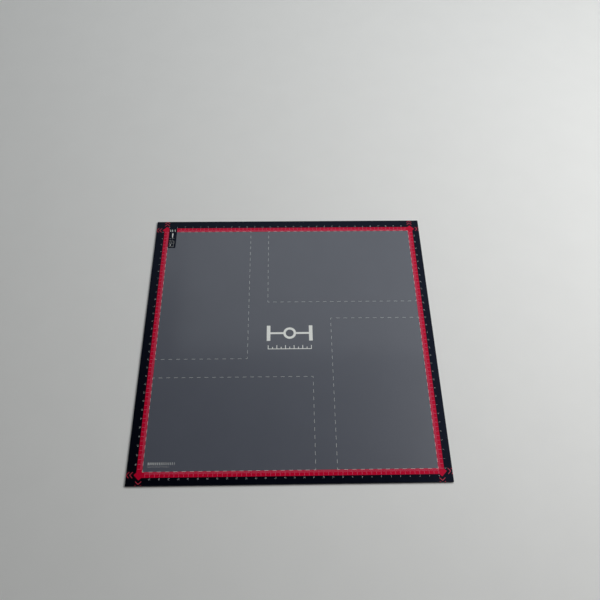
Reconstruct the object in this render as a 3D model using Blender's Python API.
"""Self healing cutting mat for leatherwork: five bonded plies with a printed ruler frame.

Units are metres and +Z is up. The origin is the centre of the underside, the mat lies flat
on the XY plane, and +Y points to the rear edge, where the label is printed at the left.
Every piece is a flat sheet, from the healing plies down to the films of ink.
"""

import math

import bmesh
import bpy

# ------------------------------------------------------------------ driving dimensions
CM = 0.01
MM = 0.001

SHEET_SIDE = 33.9 * CM
SHEET_THICKNESS = 2.0 * MM
SHEET_CORNER_RADIUS = 0.5 * MM
HEALING_PLY = 0.7 * MM
BOND_FILM = 0.08 * MM
BOND_SETBACK = 0.15 * MM  # glue line, set back from the cut edge
INK_FILM = 0.03 * MM
LAYER_GAP = 0.01 * MM  # clear space between two layers that lie on each other
INK_GAP = 0.1 * MM  # clear space between two inks that meet side by side

# The print sits about a millimetre off the middle of the sheet, as it was cut.
PRINT_SHIFT = (0.9 * MM, -1.15 * MM)

# The ruler frame, as distances from the middle of the print.
BAND_INNER = 15.4 * CM
BAND_OUTER = 16.0 * CM
INK_TRAP = 0.5 * MM  # the red laps over the black border by this much

# The corner pieces and chevrons, as distances from the middle of the band's corner.
CORNER_POINT = 0.56 * CM
CHEVRON_TIP = 1.0 * CM
CHEVRON_PITCH = 0.38 * CM
CHEVRON_HALF_WIDTH = 0.31 * CM
CHEVRON_SWEEP = 0.9  # how far its wings fall back, for each unit that they reach sideways
CHEVRON_DEPTH = 0.09 * CM
CHEVRONS_PER_ARM = 2

LABEL_WIDTH = 1.0 * CM
LABEL_FRONT = 12.92 * CM
LABEL_CORNER_RADIUS = 1.2 * MM

# The emblem above the middle of the print: a ring joined by arms to a bar on each side.
EMBLEM_CENTRE = 6.4 * MM
RING_OUTER_RADIUS = 7.5 * MM
RING_INNER_RADIUS = 4.6 * MM
ARM_WIDTH = 2.4 * MM
BAR_REACH = 26.8 * MM
BAR_WIDTH = 4.2 * MM
BAR_HEIGHT = 20.0 * MM

CORNER_STEPS = 4
RING_STEPS = 24

# ------------------------------------------------------------------ heights, from the underside
CORE_PLY = SHEET_THICKNESS - 2 * HEALING_PLY - 2 * BOND_FILM - 4 * LAYER_GAP
LOWER_BOND_Z = HEALING_PLY + LAYER_GAP
CORE_Z = LOWER_BOND_Z + BOND_FILM + LAYER_GAP
UPPER_BOND_Z = CORE_Z + CORE_PLY + LAYER_GAP
TOP_PLY_Z = UPPER_BOND_Z + BOND_FILM + LAYER_GAP
FIRST_INK_Z = SHEET_THICKNESS + LAYER_GAP
SECOND_INK_Z = FIRST_INK_Z + INK_FILM + LAYER_GAP


# ------------------------------------------------------------------ outlines
def arc(centre, radius, start, end, steps):
    """Points on an arc, from one angle to the other, both ends included."""
    points = []
    for step in range(steps + 1):
        angle = start + (end - start) * step / steps
        x = centre[0] + radius * math.cos(angle)
        y = centre[1] + radius * math.sin(angle)
        points.append((x, y))
    return points


def rounded_rectangle(low, high, radius, steps=CORNER_STEPS):
    """Outline of a rectangle between two corners, with four round corners."""
    right = high[0] - radius
    left = low[0] + radius
    rear = high[1] - radius
    front = low[1] + radius
    quarter = math.pi / 2
    points = arc((right, rear), radius, 0, quarter, steps)
    points += arc((left, rear), radius, quarter, 2 * quarter, steps)
    points += arc((left, front), radius, 2 * quarter, 3 * quarter, steps)
    points += arc((right, front), radius, 3 * quarter, 4 * quarter, steps)
    return points


def sheet_outline(setback, centre=(0.0, 0.0)):
    """The cut edge of the sheet, moved inwards by setback, seen from centre."""
    half = SHEET_SIDE / 2 - setback
    low = (-half - centre[0], -half - centre[1])
    high = (half - centre[0], half - centre[1])
    return rounded_rectangle(low, high, SHEET_CORNER_RADIUS)


def square(half):
    return [(half, half), (-half, half), (-half, -half), (half, -half)]


def turned(points, quarters):
    """The points turned about the middle by a number of quarter turns, anticlockwise."""
    for _ in range(quarters % 4):
        points = [(-y, x) for x, y in points]
    return points


def mirrored(points):
    """The points on the other side of the X axis, in the opposite order."""
    return [(x, -y) for x, y in reversed(points)]


def band_outline():
    """The red ruler band with its four pointed corner pieces; it stops at the label."""
    middle = (BAND_INNER + BAND_OUTER) / 2
    outer = BAND_OUTER
    inner = BAND_INNER
    base = middle - (CORNER_POINT - (outer - middle))
    label_right = -inner + LABEL_WIDTH + INK_GAP

    # One corner's outside, anticlockwise, ending where the next side begins.
    point = middle + CORNER_POINT
    corner = [(outer, base), (point, middle), (middle, point), (base, outer)]

    points = [(label_right, inner), (label_right, outer)]
    for quarters in (0, 3, 2, 1):
        points += list(reversed(turned(corner, quarters)))
    points += [(-inner, outer), (-inner, -inner), (inner, -inner), (inner, inner)]
    return points


def chevron_outlines(tip, edge):
    """A chevron that points along +X, with its tip there, cut off where the sheet ends.

    Where the cut takes the whole tip away, only the ends of its two wings are left.
    """
    notch = tip - CHEVRON_DEPTH
    fall = CHEVRON_SWEEP * CHEVRON_HALF_WIDTH
    wing_end = [(tip - fall, CHEVRON_HALF_WIDTH), (notch - fall, CHEVRON_HALF_WIDTH)]
    if edge >= tip:
        front = [(tip, 0.0)]
    else:
        cut = (tip - edge) / CHEVRON_SWEEP
        front = [(edge, -cut), (edge, cut)]
    if edge <= notch:
        wing = [(edge, (notch - edge) / CHEVRON_SWEEP), (edge, cut)] + wing_end
        return [wing, mirrored(wing)]
    return [front + wing_end + [(notch, 0.0)] + mirrored(wing_end)]


def emblem_outlines():
    """A ring with an arm to each side, which ends in an upright bar."""
    half = ARM_WIDTH / 2
    meeting = math.asin(half / RING_OUTER_RADIUS)
    bar = BAR_REACH - BAR_WIDTH
    end_half = BAR_HEIGHT / 2
    arm = [(bar, -half), (bar, -end_half), (BAR_REACH, -end_half)]
    arm += [(BAR_REACH, end_half), (bar, end_half), (bar, half)]
    rear_arc = arc((0, 0), RING_OUTER_RADIUS, meeting, math.pi - meeting, RING_STEPS)
    outline = arm + rear_arc + turned(arm, 2) + turned(rear_arc, 2)
    hole = arc((0, 0), RING_INNER_RADIUS, 0, 2 * math.pi, 2 * RING_STEPS)[:-1]
    return [outline, hole]


# ------------------------------------------------------------------ building
def clear_scene():
    for obj in list(bpy.data.objects):
        bpy.data.objects.remove(obj, do_unlink=True)


def principled(name, colour, roughness):
    """A material with a Principled BSDF; nothing on the mat is metal."""
    material = bpy.data.materials.new(name)
    material.use_nodes = True
    shader = material.node_tree.nodes["Principled BSDF"]
    shader.inputs["Base Color"].default_value = (*colour, 1.0)
    shader.inputs["Roughness"].default_value = roughness
    shader.inputs["Metallic"].default_value = 0.0
    material.diffuse_color = (*colour, 1.0)
    return material


def flat_piece(name, outlines, bottom, thickness, material, parent, place=(0.0, 0.0)):
    """A flat piece: its first outline is the edge and any others are holes through it."""
    shape = bmesh.new()
    edges = []
    for outline in outlines:
        corners = [shape.verts.new((x, y, 0.0)) for x, y in outline]
        for start, end in zip(corners, corners[1:] + corners[:1]):
            edges.append(shape.edges.new((start, end)))
    bmesh.ops.triangle_fill(shape, use_beauty=True, edges=edges)
    raised = bmesh.ops.extrude_face_region(shape, geom=shape.faces[:])
    moved = [item for item in raised["geom"] if isinstance(item, bmesh.types.BMVert)]
    bmesh.ops.translate(shape, vec=(0.0, 0.0, thickness), verts=moved)
    bmesh.ops.recalc_face_normals(shape, faces=shape.faces)
    mesh = bpy.data.meshes.new(name)
    shape.to_mesh(mesh)
    shape.free()
    mesh.materials.append(material)
    piece = bpy.data.objects.new(name, mesh)
    piece.location = (place[0], place[1], bottom)
    piece.parent = parent
    bpy.context.scene.collection.objects.link(piece)
    return piece


def build_plies(parent):
    """The laminate: a stiff core between two soft PVC faces, held by two films of adhesive."""
    healing = principled("slate_pvc", (0.080, 0.088, 0.113), 0.42)
    backing = principled("black_pvc", (0.012, 0.013, 0.016), 0.55)
    stiff = principled("stiff_pvc", (0.045, 0.047, 0.053), 0.45)
    adhesive = principled("adhesive", (0.30, 0.28, 0.22), 0.3)
    edge = [sheet_outline(0.0)]
    glue_edge = [sheet_outline(BOND_SETBACK)]
    flat_piece("bottom_healing_ply", edge, 0.0, HEALING_PLY, backing, parent)
    flat_piece("lower_bond_film", glue_edge, LOWER_BOND_Z, BOND_FILM, adhesive, parent)
    flat_piece("stiff_core_ply", edge, CORE_Z, CORE_PLY, stiff, parent)
    flat_piece("upper_bond_film", glue_edge, UPPER_BOND_Z, BOND_FILM, adhesive, parent)
    top_thickness = SHEET_THICKNESS - TOP_PLY_Z
    flat_piece("top_healing_ply", edge, TOP_PLY_Z, top_thickness, healing, parent)


def build_border(black, parent):
    """The black border: it runs out to the cut edge, and under the band's outer edge."""
    edge = sheet_outline(INK_GAP / 2, PRINT_SHIFT)
    hole = square(BAND_OUTER - INK_TRAP)
    flat_piece("border_ink", [edge, hole], FIRST_INK_Z, INK_FILM, black, parent, PRINT_SHIFT)


def build_label(black, parent):
    """The black label panel in the rear left corner of the field, across the band."""
    low = (-BAND_INNER + INK_GAP, LABEL_FRONT)
    high = (-BAND_INNER + LABEL_WIDTH, BAND_OUTER - INK_TRAP - INK_GAP)
    panel = rounded_rectangle(low, high, LABEL_CORNER_RADIUS)
    flat_piece("corner_label", [panel], FIRST_INK_Z, INK_FILM, black, parent, PRINT_SHIFT)


def build_band(red, parent):
    """The red ruler band; its outer edge laps over the border."""
    outlines = [band_outline()]
    flat_piece("ruler_band_ink", outlines, SECOND_INK_Z, INK_FILM, red, parent, PRINT_SHIFT)


def build_chevrons(red, parent):
    """Chevrons that point away from each corner, out to the sheet's four edges.

    An arm is named after its corner and the edge that it points to. A chevron of which only
    two wings are left is two pieces.
    """
    half = SHEET_SIDE / 2 - INK_GAP / 2
    band_middle = (BAND_INNER + BAND_OUTER) / 2
    to_edge = {
        "right": half - PRINT_SHIFT[0],
        "rear": half - PRINT_SHIFT[1],
        "left": half + PRINT_SHIFT[0],
        "front": half + PRINT_SHIFT[1],
    }
    heading = {"right": 0, "rear": 1, "left": 2, "front": 3}
    corners = [("rear", "left", -1, 1), ("rear", "right", 1, 1)]
    corners += [("front", "left", -1, -1), ("front", "right", 1, -1)]
    for depth_name, side_name, side, depth in corners:
        for arm in (depth_name, side_name):
            for count in range(CHEVRONS_PER_ARM):
                tip = CHEVRON_TIP + count * CHEVRON_PITCH
                outlines = chevron_outlines(tip, to_edge[arm] - band_middle)
                name = f"chevron_{depth_name}_{side_name}_to_{arm}_{count + 1}"
                place_x = side * band_middle + PRINT_SHIFT[0]
                place_y = depth * band_middle + PRINT_SHIFT[1]
                place = (place_x, place_y)
                endings = ["_left_wing", "_right_wing"] if len(outlines) == 2 else [""]
                for outline, ending in zip(outlines, endings):
                    film = [turned(outline, heading[arm])]
                    flat_piece(name + ending, film, SECOND_INK_Z, INK_FILM, red, parent, place)


def build_emblem(white, parent):
    """The white emblem in the field, just behind the middle of the print."""
    place = (PRINT_SHIFT[0], PRINT_SHIFT[1] + EMBLEM_CENTRE)
    flat_piece("emblem", emblem_outlines(), FIRST_INK_Z, INK_FILM, white, parent, place)


def main():
    clear_scene()
    mat = bpy.data.objects.new("mat", None)
    bpy.context.scene.collection.objects.link(mat)
    black = principled("black_ink", (0.001, 0.002, 0.004), 0.32)
    red = principled("red_ink", (0.55, 0.002, 0.028), 0.32)
    white = principled("white_ink", (0.90, 0.92, 0.88), 0.5)
    build_plies(mat)
    build_border(black, mat)
    build_label(black, mat)
    build_band(red, mat)
    build_chevrons(red, mat)
    build_emblem(white, mat)


main()
